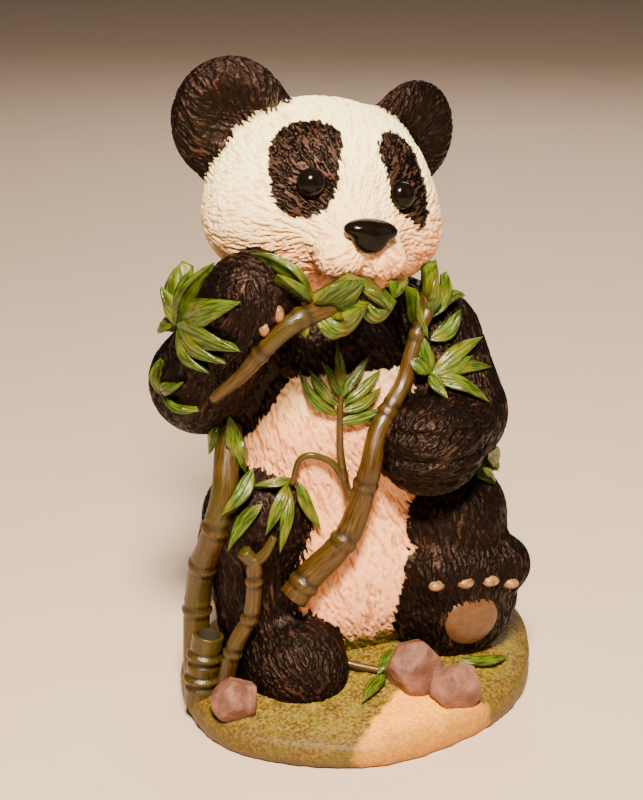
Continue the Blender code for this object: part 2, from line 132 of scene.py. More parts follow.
# %% The body's forms
def torso(p):
    hips = ellipsoid(p, (-2, 19, 34), (43, 33, 38))
    chest = ellipsoid(p, (-3, 18, 84), (37, 28, 40))
    shoulders = ellipsoid(p, (-3, 20, 110), (35, 23, 20))
    return blend(blend(hips, chest, 16), shoulders, 10)


def head(p):
    q = (p - HEAD_CENTRE) @ HEAD_TURN
    form = ellipsoid(q, (0, 2, 2), (33, 29, 26))
    for side in (-1, 1):
        form = blend(form, ellipsoid(q, (16.3 * side, -3, -8.5), (21, 20, 17.5)), 8)
    form = blend(form, ellipsoid(q, (0, -6, -17), (20, 19, 11)), 6)
    form = blend(form, ellipsoid(q, (1, -24, -9), (14, 11.5, 10.5)), 7)
    for side in (-1, 1):
        form = blend(form, ellipsoid(q, (1 + 6 * side, -31, -12.5), (8, 6, 6.5)), 3)
    form = blend(form, ellipsoid(q, (1.5, -25, -19), (9, 7, 6)), 4)
    under_nose = np.clip((-10 - q[:, 2]) / 2, 0, 1) * np.clip((-22 - q[:, 1]) / 4, 0, 1)
    return form + 0.9 * under_nose * np.exp(-((q[:, 0] - 1) / 1.3) ** 2)


# Each ear: the centre of its disc on the skull, and the disc's half width and half height
EAR_SHAPES = {-1: ((-29.3, 7, 17.6), 17.6, 18.8), 1: ((28.8, 7, 18.3), 17.2, 16.8)}


def ear_frame(side):
    """An ear's rotation, splayed outwards, and its centre on the skull."""
    splay = HEAD_TURN @ turned(yaw=math.radians(20) * side)
    return splay, HEAD_CENTRE + HEAD_TURN @ np.array(EAR_SHAPES[side][0])


def ear(p, side):
    """A round disc on the skull, its front hollowed and turned a little outwards."""
    splay, centre = ear_frame(side)
    _, half_width, half_height = EAR_SHAPES[side]
    disc = ellipsoid(p, centre, (half_width, 5.5, half_height), splay)
    hollow = centre + splay @ np.array((0, -7.5, 1.5))
    return carve(disc, ellipsoid(p, hollow, (10.5, 5, 10.5), splay), 2.5)


def nose(p):
    q = (p - HEAD_CENTRE) @ HEAD_TURN
    top = ellipsoid(q, (1, -35.4, -3.4), (8.2, 4.2, 3.4))
    return blend(top, ellipsoid(q, (1, -36.0, -6.6), (5.0, 3.6, 3.4)), 2)


def eye_place(side):
    return HEAD_CENTRE + HEAD_TURN @ np.array((14 * side, -23.6, 5.8 - 0.8 * side))


def right_upper_arm(p):
    return bone(p, (-27, 19, 107), (-44, 12, 98), 17, 15.5)


def right_forearm(p):
    wrist = bone(p, (-44, 12, 98), (-39, -8, 121), 15, 13)
    return blend(wrist, ellipsoid(p, (-35, -15, 130), (14.5, 14, 14)), 5)


def left_upper_arm(p):
    return bone(p, (27, 15, 101.5), (33.5, 3, 83), 19.5, 16.6)


def left_forearm(p):
    """The forearm and its closed paw, with three creases between the fingers on the paw's front."""
    wrist = bone(p, (32, 4, 83), (24, -10, 80), 16, 14)
    paw = blend(wrist, ellipsoid(p, (19, -15, 79.5), (16, 14.5, 15)), 5)
    front = np.clip((-14 - p[:, 1]) / 8, 0, 1)
    for height in (87, 79.5, 72):
        paw = paw + 1.1 * front * np.exp(-((p[:, 2] - height) / 1.3) ** 2)
    return paw


def right_thigh(p):
    return bone(p, (-22, 24, 34), (-29, 4.5, 54.5), 22, 17.5)


def right_shin(p):
    return bone(p, (-29, 4, 54), (-29, 3, 14), 16, 14)


def right_foot(p):
    return ellipsoid(p, (-23.5, -8, 10.5), (16, 22, 16.5), turned(yaw=math.radians(22)))


def left_thigh(p):
    return bone(p, (24, 24, 32), (33, 5, 48), 23, 18)


def left_shin(p):
    return bone(p, (30.6, 5, 46), (31, -1, 22), 20.4, 17.5)


def left_foot(p):
    sole = ellipsoid(p, (31.7, -8, 22), (21.3, 10.5, 19), turned(yaw=math.radians(8)))
    toes = bone(p, (23, -12, 36), (46.3, -8, 34), 9.5, 9.5)
    return blend(sole, toes, 4)


def tail(p):
    return ellipsoid(p, (-2, 47, 17), (10, 9, 9))


ARMS = (right_upper_arm, right_forearm, left_upper_arm, left_forearm)
LEGS = (right_thigh, right_shin, right_foot, left_thigh, left_shin, left_foot)
EARS = tuple(lambda p, side=side: ear(p, side) for side in (-1, 1))
FORMS = (head, torso, nose, tail) + ARMS + LEGS + EARS
print(len(FORMS), "forms make the body")

# %% [markdown]
# ## Noise
#
# Fur, moss and stone all come from one hashed value noise. Whole-number corners get a random value, and
# a point between them mixes the eight corners of its cell.

# %% Noise
def value_noise(p, seed=0):
    """Noise in -1..1: corner values hashed from i, j, k, mixed across the cell by 3 t^2 - 2 t^3."""
    cell = np.floor(p).astype(np.int64)
    t = p - cell
    t = t * t * (3 - 2 * t)
    low, high = cell * (73856093, 19349663, 83492791), (cell + 1) * (73856093, 19349663, 83492791)
    total = np.zeros(len(p))
    for i in (0, 1):
        for j in (0, 1):
            for k in (0, 1):
                h = (high if i else low)[:, 0] ^ (high if j else low)[:, 1] ^ (high if k else low)[:, 2]
                h = (h ^ (seed * 40503 + 977)) & 0xFFFFFFFF
                h = ((h ^ (h >> 15)) * 2246822519) & 0xFFFFFFFF
                h = ((h ^ (h >> 13)) * 3266489917) & 0xFFFFFFFF
                value = (h ^ (h >> 16)) / 2.0 ** 31 - 1
                weight = (t[:, 0] if i else 1 - t[:, 0]) * (t[:, 1] if j else 1 - t[:, 1])
                total += value * weight * (t[:, 2] if k else 1 - t[:, 2])
    return total


def noise_vector(p, seed):
    """Three noises side by side, as a direction that wanders from place to place."""
    return np.stack([value_noise(p, seed + k) for k in range(3)], axis=1)


def unit(rows):
    return rows / (np.linalg.norm(rows, axis=1)[:, None] + 1e-9)


sample = value_noise(np.random.default_rng(1).uniform(0, 9, (500, 3)))
print("noise runs from", sample.min().round(2), "to", sample.max().round(2))

# %% [markdown]
# ## Carved fur
#
# A stroke of fur is noise drawn out along the direction in which the hair lies: the noise is averaged
# over a short run of places along that direction, so its cells turn to long narrow ridges.

# %% Fur strokes
def strokes(p, lie, pitch, length, seed):
    """m / spread, where m is the mean over s of noise((q + s lie) / 0.5 pitch) and q is p plus a wave."""
    wavy = p + 0.6 * pitch * noise_vector(p / (2.4 * pitch), seed + 70)
    total = np.zeros(len(p))
    for s in np.linspace(-0.5, 0.5, 9) * length:
        total += value_noise((wavy + s * lie) / (0.5 * pitch), seed)
    return total / (total.std() + 1e-9)


def lying(p, normal, flow, wander, seed):
    """The flow laid flat on the surface, f - (f . n) n, turned this way and that by slow noise."""
    f = unit(flow(p)) + wander * noise_vector(p / 9.0, seed)
    return unit(f - (f * normal).sum(axis=1)[:, None] * normal)


print("strokes are drawn out over nine places")

# %% [markdown]
# ## Grids over a round form
#
# A body form is covered by the six faces of a cube, blown up to a ball and stretched. Rays leave an
# inner point through the grid and stop where the form ends. Near a neighbour the field is blended with
# it, so the skin rises into the joint and no seam shows.

# %% Ball grid
def ball_grid(n):
    """Directions and quads of a cube of n * n cells a side: each direction is (tan u, tan v, 1) turned."""
    ticks = np.arange(n + 1)
    a, b = np.meshgrid(ticks, ticks, indexing="ij")
    faces = []
    for axis in range(3):
        for level in (0, n):
            place = np.empty((n + 1, n + 1, 3), np.int64)
            place[..., axis] = level
            place[..., (axis + 1) % 3] = a if level else b
            place[..., (axis + 2) % 3] = b if level else a
            faces.append(place)
    places = np.concatenate([face.reshape(-1, 3) for face in faces])
    key = places @ np.array(((n + 1) ** 2, n + 1, 1))
    _, first, index = np.unique(key, return_index=True, return_inverse=True)
    index = index.reshape(6, n + 1, n + 1)
    quads = np.stack((index[:, :-1, :-1], index[:, 1:, :-1], index[:, 1:, 1:], index[:, :-1, 1:]), axis=3)
    directions = np.tan((places[first] / n * 2 - 1) * math.pi / 4)
    return unit(directions), quads.reshape(-1, 4)


def cast_out(field, centre, directions, start):
    """Each ray walks out from the centre by the field's own distance until the field reaches zero."""
    travel = np.full(len(directions), float(start))
    for _ in range(34):
        travel -= 0.85 * field(centre + directions * travel[:, None])
    return centre + directions * travel[:, None]


def slope(field, p, step=0.4):
    """Outward normals: the field's rise over a small step each way along X, Y and Z."""
    rise = [field(p + d) - field(p - d) for d in step * np.eye(3)]
    return unit(np.stack(rise, axis=1))


grid, quads = ball_grid(4)
print(len(grid), "places and", len(quads), "quads on a coarse ball")

# %% [markdown]
# ## Where the fur is black
#
# Black fur covers the ears, the eye patches, the arms, the legs and a band across the shoulders. Each
# edge is a distance, shaken by the strokes, so the paint ends in small tufts.

# %% Coats
def band_height(p):
    """Lower edge of the black band: it slopes down towards the back."""
    return 102 - 0.26 * (p[:, 1] + 5)


def torso_coat(p):
    """Positive on the light belly, negative on the black band and beside the black limbs."""
    coat = band_height(p) - p[:, 2]
    flank = (19 * (p[:, 0] + 20) - 12 * (p[:, 2] - 103)) / 22.5
    coat = np.minimum(coat, np.maximum(flank, 3 * (78 - p[:, 2])))
    for limb in ARMS + LEGS:
        coat = np.minimum(coat, limb(p) - 1.4)
    return coat


def head_coat(p):
    """Negative on the two eye patches, each a broad bone with a narrow one blended on."""
    right = bone(p, (-18.7, -12, 162), (-16.2, -4, 170), 10.4, 9.8)
    right = blend(right, bone(p, (-10, -4, 173), (-9, -5, 168), 5, 4), 3)
    left = bone(p, (14, -2.5, 166.5), (16.4, -6.5, 157), 8.4, 8.6)
    left = blend(left, bone(p, (18.4, -7, 153), (19.4, -6, 148.5), 6, 4.4), 3)
    return np.minimum(right, left)


def all_dark(p):
    return np.full(len(p), -5.0)


def all_light(p):
    return np.full(len(p), 5.0)


print("belly point is light:", bool(torso_coat(np.array(((-5.0, -14.0, 70.0),)))[0] > 0))

# %% [markdown]
# ## Which way the fur lies
#
# Fur fans out from the muzzle over the head, runs down the belly and follows each limb.

# %% Flows
def fan_from(x, y, z):
    """Fur that points away from one place."""
    return lambda p: p - np.array((x, y, z), float)


def steady(x, y, z):
    """Fur that points one way everywhere."""
    return lambda p: np.tile(np.array((x, y, z), float), (len(p), 1))


muzzle_place = HEAD_CENTRE + HEAD_TURN @ np.array((1, -36, -6))
ear_roots = [HEAD_CENTRE + HEAD_TURN @ np.array((17 * side, 6, 8)) for side in (-1, 1)]
print("fur fans from the muzzle at", muzzle_place.round(1))

# %% The body's pieces
# Most of the black fur is cut alike: pitch, stroke length, depth, coat
SHORT_FUR = (0.82, 2.8, 0.75, all_dark)
# name: field, inner place, stretch, turn, cells a side, neighbours, flow, pitch, stroke length, depth, coat
PIECES = {
    "head": (head, (-5, 6, 152), (33, 30, 27), HEAD_TURN, 120, (torso, EARS[0], EARS[1]),
             fan_from(*muzzle_place), 0.95, 3.4, 0.65, head_coat),
    "torso": (torso, (-3, 12, 58), (40, 30, 62), None, 108, (head, tail) + ARMS + LEGS,
              steady(0.42, 0, -1), 1.1, 3.6, 0.75, torso_coat),
    "right_ear": (EARS[0], ear_frame(-1)[1], (17, 5, 17), ear_frame(-1)[0], 54, (head,),
                  fan_from(*ear_roots[0]), 0.82, 3.0, 0.6, all_dark),
    "left_ear": (EARS[1], ear_frame(1)[1], (17, 5, 17), ear_frame(1)[0], 52, (head,),
                 fan_from(*ear_roots[1]), 0.82, 3.0, 0.6, all_dark),
    "right_upper_arm": (right_upper_arm, (-38, 12, 102), (18, 18, 22), None, 56, (torso, right_forearm),
                        steady(-0.5, -0.3, -0.6), *SHORT_FUR),
    "right_forearm": (right_forearm, (-39, -6, 118), (15, 20, 25), None, 68, (right_upper_arm, torso, head),
                      steady(0.15, -0.6, 0.8), *SHORT_FUR),
    "left_upper_arm": (left_upper_arm, (31, 7, 93), (20, 21, 27), None, 64, (torso, left_forearm),
                       steady(0.25, -0.4, -0.9), *SHORT_FUR),
    "left_forearm": (left_forearm, (24, -9, 80), (19, 20, 15), None, 70, (left_upper_arm, torso),
                     steady(-0.8, -0.5, -0.12), 0.85, 3.8, 0.7, all_dark),
    "right_thigh": (right_thigh, (-26, 12, 45), (20, 24, 24), None, 46, (torso, right_shin),
                    steady(-0.1, -0.5, -0.8), *SHORT_FUR),
    "right_shin": (right_shin, (-29, 1, 34), (15, 15, 32), None, 54, (right_thigh, right_foot, torso),
                   steady(0.1, -0.2, -1), *SHORT_FUR),
    "right_foot": (right_foot, (-22, -9, 10), (17, 22, 15), None, 62, (right_shin, torso),
                   fan_from(-32, 8, 34), *SHORT_FUR),
    "left_thigh": (left_thigh, (29, 12, 42), (21, 26, 25), None, 50, (torso, left_shin),
                   steady(0.15, -0.5, -0.8), *SHORT_FUR),
    "left_shin": (left_shin, (33, 1, 35), (17, 17, 28), None, 46, (left_thigh, left_foot, torso),
                  steady(0.2, -0.2, -1), *SHORT_FUR),
    "left_foot": (left_foot, (34, -9, 27), (18, 11, 20), None, 60, (left_shin,),
                  steady(0.1, -0.3, -1), *SHORT_FUR),
    "tail": (tail, (-2, 46, 17), (10, 9, 9), None, 22, (torso,),
             steady(0, 0.6, -0.8), 1.3, 4.0, 0.6, all_light),
}
# A piece meets its neighbours in a soft crease, 1.8 under their skin, and grows 6 past its own at most
SUNK, CREASE, REACH = 1.8, 7.0, 6.0
# Grid directions are drawn towards the front, so its cells are finer there
FRONT, FRONT_PULL = unit(np.array(((-0.25, -0.9, 0.25),)))[0], 0.48
# The lie strays by this much; broad locks lie under the strokes; strokes shake the edge of the black
WANDER, LOCK_PITCH, LOCK_LENGTH, LOCK_DEPTH, EDGE_SHAKE = 0.32, 3.2, 1.8, 0.3, 0.45
# Moss has crept up the fur to about this height. Below the peach heights the cream turns to peach within
# the fade, and towards the back the peach sinks to a quarter: a painted warm shade lower down.
MOSS_TOP, MOSS_SHAKE, MOSS_FADE = 17.5, 3.5, 2.5
HEAD_PEACH_SHADE_TOP, BODY_PEACH_SHADE_TOP, PEACH_SHADE_FADE, PEACH_SHADE_BACK, PEACH_SHADE_LEAST = 165, 115, 30, 34, 0.25
# The paint reads values kept at the points. fur: height of the strokes. coat: negative where the fur is
# black. near: distance to a neighbour's skin. blush, stain: share of peach, which is painted warm
# shade, and of moss. face: 1 on the head.


def joined(field, neighbours):
    """The field blended with each neighbour's field + SUNK, but no less than the field - REACH."""
    def both(p):
        own = field(p)
        result = own
        for other in neighbours:
            result = blend(result, other(p) + SUNK, CREASE)
        return np.maximum(result, own - REACH)
    return both


# %% Meshes and the body
collection = bpy.context.scene.collection
made = {}


def new_mesh(name, points, faces, material_slot, **attributes):
    """A smooth-shaded object from rows of points in metres and rows of quads, with values at its points."""
    mesh = bpy.data.meshes.new(name)
    mesh.from_pydata(np.asarray(points).tolist(), [], np.asarray(faces).tolist())
    mesh.update()
    for key, values in attributes.items():
        kind = "FLOAT_VECTOR" if values.ndim == 2 else "FLOAT"
        layer = mesh.attributes.new(key, kind, "POINT")
        layer.data.foreach_set("vector" if values.ndim == 2 else "value", values.astype(np.float32).ravel())
    mesh.shade_smooth()
    obj = bpy.data.objects.new(name, mesh)
    collection.objects.link(obj)
    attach(obj, "root")
    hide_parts("panda_figurine")
    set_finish(obj, material_slot)
    made[name] = obj
    return obj


def furry(name, field, centre, stretch, turn, n, neighbours, flow, pitch, length, depth, coat):
    """One furred form: the skin is pressed in by depth (1 - tanh(1.4 m + 0.5)) / 2, m being the strokes."""
    directions, faces = ball_grid(n)
    ahead = FRONT if turn is None else FRONT @ np.asarray(turn)
    directions = unit(directions + FRONT_PULL * ahead) * np.asarray(stretch, float)
    if turn is not None:
        directions = directions @ np.asarray(turn).T
    directions = unit(directions)
    skin_field = joined(field, neighbours)
    p = cast_out(skin_field, np.asarray(centre, float), directions, 0.5)
    normal = slope(skin_field, p)
    seed = len(made) * 31
    lie = lying(p, normal, flow, WANDER, seed)
    locks = strokes(p, lie, LOCK_PITCH * pitch, LOCK_LENGTH * length, seed + 2)
    fur = strokes(p, lie, pitch, length, seed + 1) + LOCK_DEPTH * locks
    near = np.full(len(p), 9.0)
    for other in neighbours:
        near = np.minimum(near, np.abs(other(p)))
    edge = coat(p) + EDGE_SHAKE * strokes(p, lie, 1.3 * pitch, 1.3 * length, seed + 3)
    # Peach lower down and less towards the back: painted warm shade on the cream
    blush = np.clip(((HEAD_PEACH_SHADE_TOP if name == "head" else BODY_PEACH_SHADE_TOP) - p[:, 2]) / PEACH_SHADE_FADE, 0, 1)
    blush *= np.clip((PEACH_SHADE_BACK - p[:, 1]) / PEACH_SHADE_BACK, PEACH_SHADE_LEAST, 1)
    if coat is head_coat or coat is torso_coat:
        fur = np.where(edge < 0, strokes(p, lie, 0.8 * pitch, 0.8 * length, seed + 5), fur)
    stain = np.clip((MOSS_TOP - p[:, 2] + MOSS_SHAKE * value_noise(p / 3.0, 4)) / MOSS_FADE, 0, 1)
    points = metres(p - normal * (depth * 0.5 * (1 - np.tanh(1.4 * fur + 0.5)))[:, None])
    piece_slot = "dark_fur" if coat is all_dark else "light_fur"
    return new_mesh(name, points, faces, piece_slot, fur=fur, coat=edge, near=near, blush=blush, stain=stain,
                    face=np.full(len(p), float(name == "head")))


for name, spec in PIECES.items():
    obj = furry(name, *spec)
    print(name, len(obj.data.polygons) * 2, "triangles")

# %% [markdown]
# ## Eyes, nose, claws and the pad of the sole
#
# These are smooth forms on the same ball grid.

# %% Smooth forms
def smooth_form(name, centre, radii, turn, n, slot_name, field=None):
    """An ellipsoid, or the given field, on a ball grid; the pad is marked for a darker paint."""
    directions, faces = ball_grid(n)
    directions = unit((directions * np.asarray(radii, float)) @ np.asarray(turn).T)
    own = field or (lambda p: ellipsoid(p, centre, radii, turn))
    p = cast_out(own, np.asarray(centre, float), directions, 0.3)
    return new_mesh(name, metres(p), faces, slot_name, pad=np.full(len(p), float(name == "sole_pad")))


nose_place = HEAD_CENTRE + HEAD_TURN @ np.array((1, -35.6, -4.8))
smooth_form("nose", nose_place, (7, 4, 5), HEAD_TURN, 16, "gloss_black", nose)
for side, name in ((-1, "right_eye"), (1, "left_eye")):
    smooth_form(name, eye_place(side), (4.3, 3.8, 4.3), HEAD_TURN, 14, "gloss_black")
CLAWS = {
    "foot_claw_1": ((20.4, -20.2, 35.6), (2.9, 2, 1.7), 20),
    "foot_claw_2": ((30, -19.6, 34.8), (2.9, 2, 1.7), 5),
    "foot_claw_3": ((38.6, -18.6, 33.8), (2.9, 2, 1.7), -5),
    "foot_claw_4": ((46, -16.8, 31.2), (2.8, 2, 1.7), -20),
    "paw_claw_1": ((-34.2, -26.9, 125), (1.5, 1.7, 2.2), -30),
    "paw_claw_2": ((-30.2, -27.2, 129), (1.7, 1.7, 2.5), -15),
    "sole_pad": ((33, -17.2, 21), (9.4, 2.8, 8.6), 8),
}
for name, (centre, radii, yaw) in CLAWS.items():
    smooth_form(name, centre, radii, turned(yaw=math.radians(yaw)), 22 if name == "sole_pad" else 10, "claws")
print("nose, eyes, claws and pad are in place")

# %% [markdown]
# ## Bamboo
#
# A culm is a tube along a curve. Its radius swells in a ring at each node, with fine grooves beside it.

# %% Paths and tubes
def course(path, shares):
    """Places on a Catmull-Rom curve through the path's points, at the given shares of its length."""
    p = np.asarray(path, float)
    p = np.vstack((2 * p[0] - p[1], p, 2 * p[-1] - p[-2]))
    u = np.linspace(0, 1, 13)[:-1, None]
    spans = []
    for a, b, c, d in zip(p, p[1:], p[2:], p[3:]):
        spans.append(b + 0.5 * u * (c - a + u * (2 * a - 5 * b + 4 * c - d + u * (3 * (b - c) + d - a))))
    line = np.vstack(spans + [p[-2:-1]])
    length = np.concatenate(([0], np.cumsum(np.linalg.norm(np.diff(line, axis=0), axis=1))))
    at = np.clip(np.asarray(shares, float), 0, 1) * length[-1]
    return np.stack([np.interp(at, length, line[:, k]) for k in range(3)], axis=1)


def path_length(path):
    return float(np.linalg.norm(np.diff(course(path, np.linspace(0, 1, 60)), axis=0), axis=1).sum())


def tube_faces(rows, sides):
    """Quads between rings; the first and last rings have shrunk to a point, so their quads close the ends."""
    k = np.arange(sides)
    ring = np.arange(rows - 1)[:, None] * sides
    return np.stack((ring + k, ring + (k + 1) % sides, ring + sides + (k + 1) % sides, ring + sides + k),
                    axis=2).reshape(-1, 4)


def culm(name, path, start_radius, end_radius, nodes, hollow, rows, sides):
    """A culm: r0 + t (r1 - r0), times 1 + 0.17 exp(-(d / 1.1)^2) less three grooves, d from each node."""
    t = np.concatenate((np.zeros(5), np.linspace(0, 1, rows), np.ones(4)))
    length = path_length(path)
    swell = np.ones(len(t))
    for node in nodes:
        d = (t - node) * length
        swell += 0.17 * np.exp(-(d / 1.1) ** 2) - 0.07 * np.exp(-((d - 1.9) / 0.7) ** 2)
        swell -= 0.05 * np.exp(-((d + 1.7) / 0.8) ** 2) - 0.05 * np.exp(-((d - 3.2) / 0.9) ** 2)
    radius = (start_radius + t * (end_radius - start_radius)) * swell
    radius[:5] *= (0.0, 0.5, 0.62, 0.85, 0.97) if hollow else (0.0, 0.5, 0.8, 0.95, 1.0)
    radius[-4:] *= (0.92, 0.75, 0.45, 0.0)
    centre = course(path, t)
    ahead = unit(course(path, np.minimum(t + 0.01, 1)) - course(path, np.maximum(t - 0.01, 0)))
    shift = np.zeros(len(t))
    shift[:5] = np.array((6, 6, 0.0, -0.35, -0.2)) if hollow else np.array((-0.5, -0.5, -0.35, -0.15, 0))
    shift[-4:] = np.array((0.1, 0.35, 0.5, 0.55)) * 0.6 * end_radius
    centre = centre + ahead * shift[:, None]
    side = unit(np.cross(ahead, (0.31, 0.9, 0.13)))
    other = np.cross(ahead, side)
    turn = 2 * math.pi * np.arange(sides) / sides
    wobble = 1 + 0.035 * value_noise(np.stack((t * length / 9, t * 0 + len(made), t * 0), axis=1))
    ring = np.cos(turn)[None, :, None] * side[:, None] + np.sin(turn)[None, :, None] * other[:, None]
    p = centre[:, None] + ring * (radius * wobble)[:, None, None]
    grain = np.stack(np.broadcast_arrays(np.cos(turn)[None] * radius[:, None] * 1.6,
                                         np.sin(turn)[None] * radius[:, None] * 1.6,
                                         (t * length / 7)[:, None] + len(made) * 3.7), axis=2)
    rings_and_hollow_shade_along = np.zeros(len(t))
    for node in nodes:
        d = (t - node) * length
        above, under = np.exp(-((d - 1.9) / 0.8) ** 2), np.exp(-((d + 1.6) / 0.6) ** 2)
        rings_and_hollow_shade_along = np.maximum(rings_and_hollow_shade_along, above + 0.7 * under)
    # The mark is up to 1 in the dark rings, and 2 in a hollow end, which is painted dark as shade inside, and
    # dull
    # A hollow end is painted near black as the shade inside it
    rings_and_hollow_shade_along[:3] = 2 if hollow else 0
    joint = np.repeat(rings_and_hollow_shade_along[:, None], sides, axis=1)
    return new_mesh(name, metres(p.reshape(-1, 3)), tube_faces(len(t), sides)[:, ::-1], "bamboo",
                    grain=grain.reshape(-1, 3), joint=joint.ravel())


CULMS = {
    "tall_culm": (((-50, 4, -3), (-50, 6, 12), (-49, 6, 28), (-48, 2, 41), (-45, -4, 55), (-42, -5, 68),
                   (-40, -1, 78), (-38, 3, 86)), 4.2, 3.9, (0.3, 0.49, 0.66), False),
    "culm_stub": (((-48, -4, 21), (-50, -4, 10), (-51, -4, -2)), 4.8, 5.2, (0.3, 0.62), True),
    "thin_culm": (((-45, -9, 3), (-42, -13, 20), (-37, -15, 32), (-36, -16, 44), (-36, -16, 51)),
                  2.7, 2.3, (0.32, 0.58, 0.84), False),
    "thin_culm_fork": (((-36, -16, 49), (-39, -16, 53)), 2.2, 2.4, (), False),
    "thin_culm_tip": (((-36, -16, 49), (-33, -17, 52), (-30, -17, 57)), 2.05, 1.2, (), False),
    "held_stalk": (((-24, -16, 36), (-18, -16, 43), (-12, -17, 49), (-7, -17, 55), (-4, -16, 61),
                    (-2, -16, 68), (0, -17, 76), (3, -14, 85), (8, -11, 92), (13, -8, 98), (16, -6, 106),
                    (19, -4, 113), (22, -3, 118), (23, 2, 123)),
                   4.7, 1.8, (0.05, 0.22, 0.4, 0.62, 0.86), True),
    "mouth_stick": (((-46, -13, 101), (-40, -20, 109), (-35, -25, 117), (-30, -27, 123), (-24, -27, 127),
                     (-13, -23, 129), (-5, -18, 132)), 1.6, 3.8, (0.38, 0.64), False),
    "belly_stem": (((-4, -17, 62), (-6, -14, 67), (-7, -12, 73), (-8, -12, 81), (-8, -12, 92),
                    (-7, -10, 99)), 1.4, 0.9, (0.3,), False),
    "arched_stem": (((-7, -12, 71), (-10, -12, 76), (-13, -11, 78), (-17, -10, 79), (-20, -9, 77),
                     (-22, -9, 70)), 1.1, 0.9, (), False),
    "ground_stem": (((-13, -14, 13), (-4, -19, 11), (4, -23, 10)), 1.1, 1.1, (), False),
}
for name, (path, start_radius, end_radius, nodes, hollow) in CULMS.items():
    thick = start_radius > 2
    culm(name, path, start_radius, end_radius, nodes, hollow, 90 if thick else 40, 28 if thick else 14)
print(len(CULMS), "culms and stems")

# %% [markdown]
# ## Ground
#
# The base is an oval with a low side wall. The ground swells above it as a dome.

# %% Ground height
def ground(x, y):
    """Height above the rim, in metres: rise (1 - out)^0.8, where out is 0 in the middle and 1 at the rim."""
    along = x * math.cos(base_yaw) + y * math.sin(base_yaw)
    across = y * math.cos(base_yaw) - x * math.sin(base_yaw)
    out = np.clip((2 * along / base_length) ** 2 + (2 * across / base_depth) ** 2, 0, 1)
    return mound_rise * (1 - out) ** 0.8


def skin(p):
    """Distance to the nearest of the body's forms, or to the ground."""
    x, y, _ = metres(p).T
    nearest = 0.9 * (p[:, 2] - ground(x, y) / share)
    for field in FORMS:
        nearest = np.minimum(nearest, field(p))
    return nearest


def lifted(p, clearance):
    """Points nearer the skin than the clearance move out until they reach it; the others stay."""
    for _ in range(5):
        p = p + slope(skin, p, 0.5) * np.maximum(clearance - skin(p), 0)[:, None]
    return p


print("the ground rises to", round(float(ground(0.0, 0.0)) * 1000, 1), "mm above the rim")

# %% [markdown]
# ## Leaves
#
# A leaf is a thick blade pressed on what is under it. Its half width along the length is
# 0.48 w sin(pi t^0.78), which gives a round root and a long tip. Below, it runs down to a keel on the
# skin, so that it stays one with the casting.

